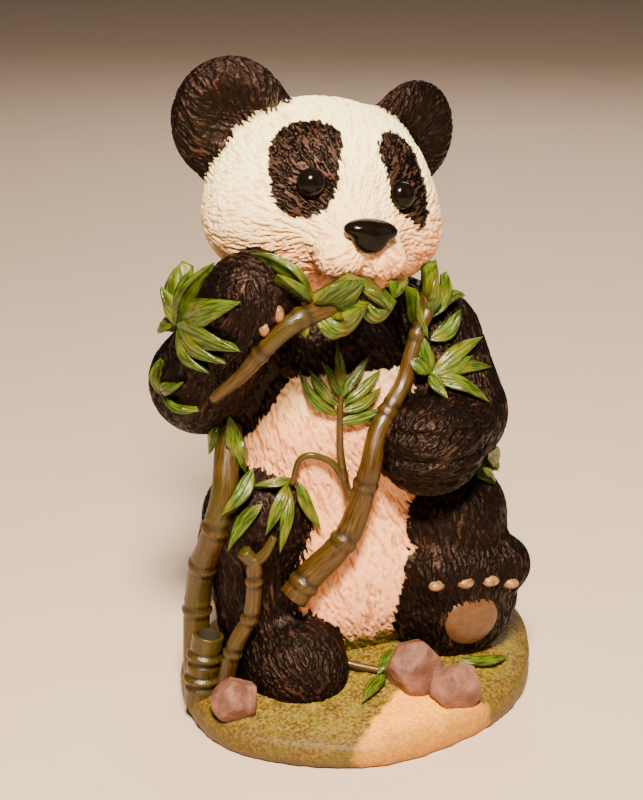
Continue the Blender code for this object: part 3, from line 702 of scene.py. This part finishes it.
# %% Leaf surface
LEAVES = {
    "wrist_leaf": (
        (((-54, -4, 121), (-50, -17, 128), (-41, -29, 134)), 9.5),
        (((-54, -4, 121), (-50, -18, 121), (-41, -27, 119)), 8),
        (((-54, -4, 121), (-52, -15, 117), (-44, -22, 114)), 6),
        (((-54, -3, 121), (-54, -10, 114), (-48, -17, 110)), 5.5),
        (((-54, -3, 121), (-53, -9, 133), (-45, -15, 142)), 4),
        (((-54, -3, 121), (-54, -4, 130), (-50, -6, 138)), 6),
        (((-54, -2, 121), (-56, 2, 125), (-57, 4, 131)), 5),
        (((-54, -2, 121), (-55, 7, 128), (-49, 11, 136)), 6),
        (((-54, -2, 121), (-56, 8, 118), (-50, 20, 118)), 6.5),
    ),
    "elbow_leaf": (
        (((-58, 4, 98), (-58, -1, 101), (-54, -7, 104)), 4.5),
        (((-58, 4, 98), (-55, -2, 95), (-49, -6, 95)), 3.5),
        (((-58, 4, 98), (-60, 5, 103), (-58, 4, 109)), 4.5),
    ),
    "paw_leaf": (
        (((-20, -26, 131), (-24, -27, 140), (-30, -23, 144), (-36, -20, 145)), 3.6),
        (((-20, -26, 131), (-24, -29, 136), (-31, -29, 141)), 3.2),
        (((-20, -26, 131), (-22, -28, 127), (-23, -29, 122)), 2.4),
    ),
    "mouth_leaf": (
        (((-20, -25, 129), (-13, -28, 132), (-5, -28, 137)), 14),
        (((-19, -25, 128), (-12, -29, 124), (-4, -28, 130)), 9),
        (((-20, -27, 128), (-15, -28, 123), (-9, -26, 121)), 4.5),
        (((-6, -25, 129), (-1, -26, 125), (5, -25, 129)), 6),
        (((-5, -25, 134), (-1, -27, 131), (3, -27, 127)), 4),
        (((4, -24, 130), (9, -17, 130), (14, -8, 131)), 4),
    ),
    "cheek_leaf": (
        (((22, -4, 116), (24, -5, 125), (26, 1, 133)), 5.4),
        (((24, -3, 116), (29, 1, 122), (32, 8, 127)), 5.4),
        (((27, -1, 119), (32, 3, 121), (38, 7, 119)), 4.4),
        (((22, -5, 109), (29, -3, 112), (34, 0, 117)), 6),
        (((22, -5, 111), (19, -5, 118), (18, -5, 126)), 3),
    ),
    "fan_leaf": (
        (((21, -9, 100), (20, -7, 107), (19, -4, 113)), 5.2),
        (((21, -9, 100), (17, -9, 104), (14, -7, 106)), 5),
        (((21, -9, 100), (31, -7, 106), (41, -1, 108)), 5.4),
        (((21, -9, 100), (28, -9, 101.5), (36, -6, 104)), 4.6),
        (((21, -9, 100), (31, -8, 101.5), (43, -4, 99)), 5.4),
        (((21, -9, 100), (31, -12, 97), (39, -13, 91)), 5.6),
        (((21, -9, 100), (22, -13, 98), (24, -17, 95)), 5),
    ),
    "chest_leaf": (
        (((-9, -12, 91), (-15, -10, 96), (-19, -6, 104)), 3.8),
        (((-8, -12, 94), (-12, -10, 98), (-16, -6, 105)), 3.8),
        (((-7, -11, 97), (-9, -9, 102), (-12, -6, 107)), 3.6),
        (((-7, -11, 98), (-7, -9, 104), (-7, -6, 112)), 3.8),
        (((-7, -11, 97), (-3, -10, 102), (3, -7, 108)), 3.8),
        (((-7, -12, 95), (-1, -11, 98), (6, -8, 103)), 4),
        (((-8, -12, 92), (-1, -12, 94), (6, -9, 98)), 4),
        (((-9, -12, 90), (-1, -12, 90), (7, -11, 92)), 3.8),
    ),
    "belly_leaf": (
        (((-22, -9, 71), (-27, -9, 71), (-34, -7, 70)), 3.4),
        (((-23, -9, 70), (-27, -13, 66), (-32, -15, 57)), 4.6),
        (((-23, -9, 70), (-25, -14, 62), (-28, -16, 51)), 4.6),
        (((-21, -9, 70), (-18, -11, 63), (-14, -12, 55)), 4.6),
        (((-31.5, -12, 66.5), (-38, -12, 61), (-43, -12, 52)), 4.8),
    ),
    "culm_leaf": (
        (((-40, -3, 91), (-38, -5, 82), (-35, -4, 73)), 5.4),
        (((-33, -6, 75), (-38, -10, 69), (-45, -11, 63)), 5.4),
        (((-42, -1, 88), (-44, -1, 83), (-45, 2, 78)), 2.6),
    ),
    "hip_leaf": (
        (((39, -8, 74), (45, -3, 69), (49, 3, 61)), 6),
        (((38, -12, 69), (42, -8, 65), (45, -4, 60)), 2.6),
    ),
    "ground_leaf": (
        (((27, -20, 8), (37, -20, 7), (47, -16, 5)), 5.2),
        (((11, -17, 13), (6, -20, 13), (0, -24, 10)), 6.5),
        (((3, -23, 10), (-3, -29, 9), (-8, -34, 7)), 5.2),
    ),
}
# The roots of one bunch stand this far apart, so that no two blades start at one point
ROOT_SPREAD = 0.7
LEAF_ROWS, LEAF_SPAN = 20, 16


def leaf_surface(path, width, seed):
    """Loops of a blade: over the top, bulge = 0.9 (1 - s^4) less three veins, then back below to the keel."""
    t = np.linspace(0, 1, LEAF_ROWS)
    rib = lifted(course(path, t), 0.7)
    ahead = unit(np.gradient(rib, axis=0))
    out = slope(skin, rib, 0.5)
    out = unit(out + out.mean(axis=0))
    side = unit(np.cross(ahead, out))
    half = 0.96 * width / 2 * np.sin(np.pi * t ** 0.78).clip(0)
    half = half * (1 + 0.06 * value_noise(np.stack((t * 5, t * 0 + seed, t * 0), axis=1)))
    left = lifted(rib - side * half[:, None], 0.3)
    right = lifted(rib + side * half[:, None], 0.3)
    s = np.linspace(-1, 1, LEAF_SPAN + 1)[None, :, None]
    edge = np.where(s < 0, left[:, None], right[:, None])
    flat = rib[:, None] + (edge - rib[:, None]) * np.abs(s)
    full = np.minimum(1, 6 * np.minimum(t, 1 - t))[:, None, None]
    midrib, side_veins = np.exp(-(s / 0.16) ** 2), np.exp(-((np.abs(s) - 0.55) / 0.13) ** 2)
    bulge = 0.9 * (1 - s ** 4) - 0.45 * midrib - 0.3 * side_veins
    top = flat + out[:, None] * bulge * full
    sunk = np.clip(skin(rib) + 1.2, 1, 7)[:, None, None]
    below = 0.35 + (sunk - 0.35) * (1 - np.abs(s)) ** 2.2
    under = flat - out[:, None] * below * full
    loop = np.concatenate((top, under[:, -2:0:-1]), axis=1)
    across = np.concatenate((s, s[:, -2:0:-1]), axis=1)[0, :, 0]
    grain = np.stack(np.broadcast_arrays(across[None] * half[:, None], t[:, None] * path_length(path) / 9,
                                         np.full((1, 1), seed * 2.3)), axis=2)
    # brim runs from 0 on the midrib to 1 at the edge
    brim = np.broadcast_to(np.abs(across), loop.shape[:2])
    return loop, grain, brim


for group, blades in LEAVES.items():
    loops, grains, brims, faces = [], [], [], []
    for k, (path, width) in enumerate(blades):
        apart = ROOT_SPREAD * np.array((math.cos(4 * k), math.cos(2.4 * k), math.sin(2.4 * k)))
        loop, grain, brim = leaf_surface((np.add(path[0], apart), *path[1:]), width, len(made) * 9 + k)
        rows, sides = loop.shape[:2]
        faces.append(tube_faces(rows, sides) + len(loops) * rows * sides)
        loops.append(loop.reshape(-1, 3))
        grains.append(grain.reshape(-1, 3))
        brims.append(brim.ravel())
    new_mesh(group, metres(np.vstack(loops)), np.vstack(faces)[:, ::-1], "leaves", grain=np.vstack(grains),
             brim=np.concatenate(brims))
print(sum(len(blades) for blades in LEAVES.values()), "leaves in", len(LEAVES), "bunches")

# %% [markdown]
# ## Stones and the base

# %% Stones
# The flat faces of a stone stand at this share of its reach
STRUCK = 0.8


def stone(p, centre, radii, turn_by):
    """An ellipsoid with nine flat faces struck off it, each 2.4 radians round from the last and lower."""
    local = p - np.asarray(centre, float)
    form = ellipsoid(p, centre, radii)
    for k in range(9):
        round_by = turn_by + 2.4 * k
        tilt = math.radians(65 - 14 * k)
        level = math.cos(tilt)
        face = np.array((math.cos(round_by) * level, math.sin(round_by) * level, math.sin(tilt)))
        reach = STRUCK * np.linalg.norm(face * np.asarray(radii, float))
        form = -blend(-form, reach - local @ face, 0.25)
    return form


# Place on the base as shares of its half length and half depth, height above the ground there, radii, turn
STONES = {
    "stone_by_the_culms": ((-0.883, 0.213), 4.9, (7.6, 6.6, 7.4), 0.4),
    "stone_on_the_path": ((-0.335, -0.553), 4.4, (9.2, 8.5, 10.5), 1.7),
    "stone_at_the_rim": ((-0.30, -0.80), 3.4, (8.6, 7, 8.2), 2.9),
}


def on_base(place, height):
    """A place in shares of the base's half length and half depth, and a height above the ground there."""
    along, across = place[0] * base_length / 2, place[1] * base_depth / 2
    x = along * math.cos(base_yaw) - across * math.sin(base_yaw)
    y = along * math.sin(base_yaw) + across * math.cos(base_yaw)
    middle_x, middle_y = figure_offset
    return np.array(((x - middle_x) / share, (y - middle_y) / share, float(ground(x, y)) / share + height))


for name, (place, height, radii, turn_by) in STONES.items():
    centre = on_base(place, height)
    directions, faces = ball_grid(26)
    directions = unit(directions * np.asarray(radii, float))
    p = cast_out(lambda q: stone(q, centre, radii, turn_by), np.asarray(centre, float), directions, 0.5)
    p = p + directions * (0.22 * value_noise(p / 2.6, 5) + 0.1 * value_noise(p / 0.8, 6))[:, None]
    new_mesh(name, metres(p), faces, "stones")
print(len(STONES), "stones")

# %% Base
# The skin runs from the middle of the underside out, up the rim and back in over the moss. The sand lies
# between two straight edges, in front of a line 24 mm before the figure's middle. A darker brown, painted
# shade at the base's edge, begins 0.88 of the way out.
MOSS_HEIGHT, RIM_SHADE_FROM, RIM_SHADE_FADE = 0.0009, 0.88, 0.1
SIDES, STEPS = 260, 58
turn = 2 * math.pi * np.arange(SIDES) / SIDES
wobble = 1 + 0.012 * np.sin(3 * turn + 0.6) + 0.008 * np.sin(7 * turn)
out = np.concatenate(([0.0, 0.5, 0.93, 0.96, 0.98, 0.99, 0.995, 0.99], np.linspace(0.985, 0, STEPS)))
rise = np.concatenate(([0.0, 0.0, 0.0, 0.0, 0.1, 0.35, 0.6, 0.85], np.ones(STEPS)))
along = out[:, None] * wobble * base_length / 2 * np.cos(turn)
across = out[:, None] * wobble * base_depth / 2 * np.sin(turn)
x = along * math.cos(base_yaw) - across * math.sin(base_yaw)
y = along * math.sin(base_yaw) + across * math.cos(base_yaw)
on_top = np.repeat((rise == 1)[:, None], SIDES, axis=1)
z = rise[:, None] * rim_height + np.where(on_top, ground(x / wobble, y / wobble), 0)
p = np.stack((x, y, z), axis=2).reshape(-1, 3)
mm = p * 1000
figure_x, figure_y = (mm[:, :2] - np.array(figure_offset) * 1000).T
inside_left = (figure_x - figure_y - 34) / math.sqrt(2)
inside_right = -((figure_x - 34) * 13 + (figure_y + 40) * 14) / 19.1
path = np.minimum(np.minimum(inside_left, inside_right), -24 - figure_y) + 0.9 * value_noise(mm / 2.2, 3)
sand = np.clip(0.5 + path / 1.2, 0, 1)
moss = 0.55 * value_noise(mm / 2.6, 7) + 0.3 * value_noise(mm / 1.2, 8)
rough = moss * (1 - sand) + sand * 0.22 * value_noise(mm / 1.6, 9)
side_wall = (rise[:, None] > 0) & (rise[:, None] < 1) & np.ones((1, SIDES), bool)
lift = np.where(on_top.ravel(), rough * MOSS_HEIGHT, 0)
p[:, 2] += lift * (out.repeat(SIDES) < 0.985)
push = np.where(side_wall.ravel(), 0.0004 * value_noise(mm / 2.5, 11), 0)
p[:, :2] += push[:, None] * unit(p)[:, :2]
# Painted shade: darker brown from 0.88 of the way out and down the side wall
rim = np.clip((out.repeat(SIDES) - RIM_SHADE_FROM + 0.03 * value_noise(mm / 4.0, 12)) / RIM_SHADE_FADE, 0, 1)
new_mesh("base", p, tube_faces(len(out), SIDES), "ground", sand=sand, rim=rim)
print("base has", SIDES * len(out), "places")

# %% [markdown]
# ## Paint
#
# One small function adds a node and links what it is given. Colours are written as sRGB hex and turned
# to linear values in one place.

# %% Node helpers
def colour(code):
    """sRGB hex to linear: c / 12.92 below 0.04045, else ((c + 0.055) / 1.055)^2.4."""
    values = [int(code[k:k + 2], 16) / 255 for k in (1, 3, 5)]
    return (*[c / 12.92 if c <= 0.04045 else ((c + 0.055) / 1.055) ** 2.4 for c in values], 1)


def add(tree, kind, inputs=None, **settings):
    """A node with its settings; each input is a constant or an output to link."""
    node = tree.nodes.new("ShaderNode" + kind)
    for key, value in settings.items():
        setattr(node, key, value)
    for key, value in (inputs or {}).items():
        if isinstance(value, bpy.types.NodeSocket):
            tree.links.new(value, node.inputs[key])
        else:
            node.inputs[key].default_value = value
    return node


def value_of(tree, name):
    return add(tree, "Attribute", attribute_name=name).outputs["Fac"]


def spread(tree, value, low, high, to_low=0.0, to_high=1.0):
    """The value's span low..high, eased and stretched to another span."""
    inputs = {"Value": value, "From Min": low, "From Max": high, "To Min": to_low, "To Max": to_high}
    return add(tree, "MapRange", inputs, interpolation_type="SMOOTHSTEP").outputs["Result"]


def mixed(tree, factor, first, second, blend_type="MIX"):
    """Colours mixed by a factor; a hex code or an output may stand for each."""
    first, second = (colour(c) if isinstance(c, str) else c for c in (first, second))
    node = add(tree, "Mix", {0: factor, 6: first, 7: second}, data_type="RGBA", blend_type=blend_type)
    return node.outputs[2]


def math_of(tree, operation, first, second=0.0):
    return add(tree, "Math", {0: first, 1: second}, operation=operation).outputs[0]


def noise_of(tree, vector, size_mm, detail=2.0):
    """Noise whose cells are about size_mm across, on coordinates in metres."""
    inputs = {"Vector": vector, "Scale": 1000 / size_mm, "Detail": detail}
    return add(tree, "TexNoise", inputs).outputs["Fac"]


def paint(name, build):
    """A material whose builder gives base colour, roughness, bump height, bump distance and set values."""
    material = bpy.data.materials.new(name)
    material.use_nodes = True
    tree = material.node_tree
    tree.nodes.clear()
    place = add(tree, "TexCoord").outputs["Object"]
    base, roughness, height, distance, constants = build(tree, place)
    bump = add(tree, "Bump", {"Strength": 1.0, "Distance": distance, "Height": height})
    inputs = {"Base Color": base, "Roughness": roughness, "Normal": bump.outputs["Normal"], **constants}
    shader = add(tree, "BsdfPrincipled", inputs)
    add(tree, "OutputMaterial", {"Surface": shader.outputs[0]})
    return material


print("cream is", tuple(round(c, 3) for c in colour("#f6e7cf")))

# %% Fur paint
def dark_colour(tree, place, fur, plain, rubbed, start):
    """Black in the grooves and brown on the ridges, rubbed paler in places."""
    ridge = mixed(tree, spread(tree, noise_of(tree, place, 8.0), 0.4, 0.7), plain, rubbed)
    return mixed(tree, spread(tree, fur, start, start + 1.4), "#020101", ridge)


def fur_paint(tree, place):
    """The eye sees cream ridges, peach lower down as painted warm shade, tan grooves, black fur rubbed brown.
    """
    fur = value_of(tree, "fur")
    near = value_of(tree, "near")
    ridge = mixed(tree, spread(tree, noise_of(tree, place, 14.0), 0.35, 0.65), "#fdf2b8", "#fffbc6")
    # Peach lower down is painted warm shade
    ridge = mixed(tree, value_of(tree, "blush"), ridge, "#f2ad7c")
    groove = mixed(tree, value_of(tree, "blush"), "#e6c795", "#c27f4e")
    cream = mixed(tree, spread(tree, fur, -1.6, -0.1), groove, ridge)
    # Darker brown where a neighbour's skin is near: wash in the crease between forms, and painted shade there
    cream = mixed(tree, spread(tree, near, 0.2, 3.0, 0.75, 0.0), cream, "#7a4a30")
    cream = mixed(tree, value_of(tree, "stain"), cream, "#6f6524")
    dark = dark_colour(tree, place, fur, "#160d09", "#33211a", 0.4)
    patch = dark_colour(tree, place, fur, "#34221b", "#493229", 0.0)
    dark = mixed(tree, value_of(tree, "face"), dark, patch)
    which = spread(tree, value_of(tree, "coat"), -0.3, 0.3)
    base = mixed(tree, which, dark, cream)
    roughness = math_of(tree, "ADD", math_of(tree, "MULTIPLY", which, 0.2), 0.4)
    glint = {"Specular IOR Level": 0.16, "Specular Tint": colour("#ffd4c0")}
    return base, roughness, noise_of(tree, place, 0.5), 0.00012, glint


def dark_fur_paint(tree, place):
    """The eye sees near-black fur, its ridges rubbed to brown, with small glints."""
    fur = value_of(tree, "fur")
    base = dark_colour(tree, place, fur, "#150c08", "#44291f", 0.7)
    roughness = spread(tree, fur, -1.0, 1.5, 0.6, 0.4)
    glint = {"Specular IOR Level": 0.2, "Specular Tint": colour("#ffcdb8")}
    return base, roughness, noise_of(tree, place, 0.5), 0.00012, glint


def gloss_paint(tree, place):
    """The eye sees wet black."""
    base = mixed(tree, noise_of(tree, place, 3.0), "#050403", "#120c09")
    roughness = spread(tree, noise_of(tree, place, 1.5), 0.3, 0.8, 0.12, 0.2)
    glint = {"Specular IOR Level": 0.1, "Coat Weight": 0.05}
    return base, roughness, noise_of(tree, place, 1.0), 0.00003, glint


def claw_paint(tree, place):
    """The eye sees waxy tan in patches of two shades, and a browner pad under the foot."""
    base = mixed(tree, spread(tree, noise_of(tree, place, 2.2), 0.35, 0.7), "#6b4628", "#9a7048")
    base = mixed(tree, math_of(tree, "MULTIPLY", value_of(tree, "pad"), 0.85), base, "#4d2b12")
    roughness = spread(tree, noise_of(tree, place, 1.0), 0.3, 0.8, 0.35, 0.5)
    return base, roughness, noise_of(tree, place, 0.7), 0.0001, {"Specular IOR Level": 0.5}


def bamboo_paint(tree, place):
    """The eye sees glossy olive brown culms with fine streaks, dark in the rings, painted shade in a hollow
    end.
    """
    grain = add(tree, "Attribute", attribute_name="grain").outputs["Vector"]
    streak = add(tree, "TexNoise", {"Vector": grain, "Scale": 1.2, "Detail": 3.0}).outputs["Fac"]
    base = mixed(tree, spread(tree, streak, 0.3, 0.7), "#2f1f05", "#4c340e")
    green = spread(tree, noise_of(tree, place, 12.0), 0.45, 0.7, 0.0, 0.55)
    base = mixed(tree, green, base, "#35330a")
    # Dark rings, and a near-black painted shade inside a hollow end
    base = mixed(tree, math_of(tree, "MULTIPLY", value_of(tree, "joint"), 0.85), base, "#150b03")
    roughness = spread(tree, streak, 0.2, 0.8, 0.24, 0.4)
    roughness = math_of(tree, "MAXIMUM", roughness, math_of(tree, "MULTIPLY", value_of(tree, "joint"), 0.45))
    return base, roughness, streak, 0.00015, {"Specular IOR Level": 0.4}


def leaf_paint(tree, place):
    """The eye sees glossy olive leaves with lighter veins, yellower in patches, dark at the edge."""
    grain = add(tree, "Attribute", attribute_name="grain").outputs["Vector"]
    vein = add(tree, "TexNoise", {"Vector": grain, "Scale": 1.8, "Detail": 2.0}).outputs["Fac"]
    base = mixed(tree, spread(tree, vein, 0.35, 0.65), "#223106", "#4a5f13")
    patch = spread(tree, noise_of(tree, place, 7.0), 0.45, 0.75, 0.0, 0.6)
    base = mixed(tree, patch, base, "#6c651a")
    base = mixed(tree, spread(tree, value_of(tree, "brim"), 0.72, 1.0, 0.0, 0.6), base, "#33300f")
    roughness = spread(tree, vein, 0.2, 0.8, 0.22, 0.36)
    return base, roughness, vein, 0.0004, {"Specular IOR Level": 0.35}


def stone_paint(tree, place):
    """The eye sees pinkish brown rock with paler worn corners."""
    worn = noise_of(tree, place, 5.0, 4.0)
    base = mixed(tree, spread(tree, worn, 0.3, 0.75), "#5a372b", "#83594a")
    roughness = spread(tree, worn, 0.2, 0.8, 0.5, 0.7)
    return base, roughness, noise_of(tree, place, 0.9, 4.0), 0.0003, {"Specular IOR Level": 0.35}


def moss_paint(tree, place):
    """The eye sees ochre and olive moss in small clumps, a pale orange sand path, and brown painted shade at
    the rim.
    """
    clump = noise_of(tree, place, 1.0, 3.0)
    slow = noise_of(tree, place, 7.0)
    base = mixed(tree, spread(tree, clump, 0.36, 0.66), "#43340a", "#86691a")
    base = mixed(tree, spread(tree, slow, 0.45, 0.7, 0.0, 0.45), base, "#706b16")
    path = mixed(tree, spread(tree, clump, 0.3, 0.7), "#e08c14", "#fbb034")
    base = mixed(tree, value_of(tree, "sand"), base, path)
    # The darker brown at the rim is painted shade
    base = mixed(tree, math_of(tree, "MULTIPLY", value_of(tree, "rim"), 0.55), base, "#4b3410")
    roughness = spread(tree, clump, 0.2, 0.8, 0.45, 0.65)
    return base, roughness, noise_of(tree, place, 0.9, 3.0), 0.0004, {"Specular IOR Level": 0.4}


MATERIALS = {
    "light_fur": paint("cream_painted_resin_fur", fur_paint),
    "dark_fur": paint("black_painted_resin_fur", dark_fur_paint),
    "gloss_black": paint("gloss_black_enamel", gloss_paint),
    "claws": paint("tan_painted_claw", claw_paint),
    "bamboo": paint("painted_bamboo", bamboo_paint),
    "leaves": paint("painted_leaf", leaf_paint),
    "stones": paint("painted_stone", stone_paint),
    "ground": paint("painted_moss", moss_paint),
}
for obj in made.values():
    obj.data.materials.append(MATERIALS[obj["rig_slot"]])
print(len(MATERIALS), "paints on", len(made), "pieces")

# %% [markdown]
# ## Floor, light and camera
#
# A plain pale floor, a warm key from the upper left, a wide weak fill from the right, a lamp behind.

# %% Stage
mesh = bpy.data.meshes.new("floor")
mesh.from_pydata([(-3, -3, 0), (3, -3, 0), (3, 3, 0), (-3, 3, 0)], [], [(0, 1, 2, 3)])
floor = bpy.data.objects.new("floor", mesh)
collection.objects.link(floor)


def floor_paint(tree, place):
    """The eye sees a matt pale floor."""
    base = mixed(tree, noise_of(tree, place, 40.0), "#cdb6a4", "#d3bdab")
    roughness = spread(tree, noise_of(tree, place, 3.0), 0.2, 0.8, 0.6, 0.7)
    return base, roughness, noise_of(tree, place, 2.0), 0.00005, {"Specular IOR Level": 0.3}


floor.data.materials.append(paint("pale_floor", floor_paint))


def area_light(name, place, target, width, power, tint):
    """A square lamp that faces the target."""
    lamp = bpy.data.lights.new(name, "AREA")
    lamp.size = width
    lamp.energy = power
    lamp.color = colour(tint)[:3]
    obj = bpy.data.objects.new(name, lamp)
    obj.location = place
    obj.rotation_mode = "QUATERNION"
    obj.rotation_quaternion = (Vector(target) - Vector(place)).to_track_quat("-Z", "Y")
    collection.objects.link(obj)


# name: place, target, width in metres, power in watts, tint
LAMPS = {
    "key": ((-0.16, -0.56, 0.78), (0, 0, 0.11), 0.18, 38, "#ffeed0"),
    "fill": ((0.9, -0.6, 0.5), (0, 0, 0.1), 0.8, 1.6, "#fff0e2"),
    "back": ((0.4, 0.8, 0.7), (0, 0, 0.12), 0.6, 5, "#fff4e8"),
}
for name, spec in LAMPS.items():
    area_light(name, *spec)
ROOM_LIGHT = 0.11
world = bpy.data.worlds.new("soft_room")
world.use_nodes = True
world.node_tree.nodes["Background"].inputs["Color"].default_value = colour("#d9cdc2")
world.node_tree.nodes["Background"].inputs["Strength"].default_value = ROOM_LIGHT
bpy.context.scene.world = world
print("stage is set")

# %% Camera
# The camera stands 17 degrees to the figure's right and 20 degrees above it, 0.52 m away.
AZIMUTH, ELEVATION, DISTANCE = math.radians(-17), math.radians(20), 0.520
TARGET = Vector((figure_offset[0], figure_offset[1], 0.089 + rim_height))
IMAGE_HEIGHT, FOCAL_PIXELS = 800, 1714
TARGET_AT, MIDDLE = (354, 407), (321.5, 400)
back = Vector((math.sin(AZIMUTH) * math.cos(ELEVATION), -math.cos(AZIMUTH) * math.cos(ELEVATION),
               math.sin(ELEVATION)))
camera = bpy.data.objects.new("camera", bpy.data.cameras.new("camera"))
camera.location = TARGET + back * DISTANCE
camera.rotation_mode = "QUATERNION"
camera.rotation_quaternion = (-back).to_track_quat("-Z", "Y")
camera.data.sensor_width = 36
camera.data.lens = FOCAL_PIXELS / IMAGE_HEIGHT * 36
camera.data.shift_x = (MIDDLE[0] - TARGET_AT[0]) / IMAGE_HEIGHT
camera.data.shift_y = (TARGET_AT[1] - MIDDLE[1]) / IMAGE_HEIGHT
camera.data.clip_start = 0.01
collection.objects.link(camera)
bpy.context.scene.camera = camera
print("camera at", tuple(round(c, 3) for c in camera.location))

# %% Finish
print("triangles in all:", sum(len(obj.data.polygons) * 2 for obj in made.values()))
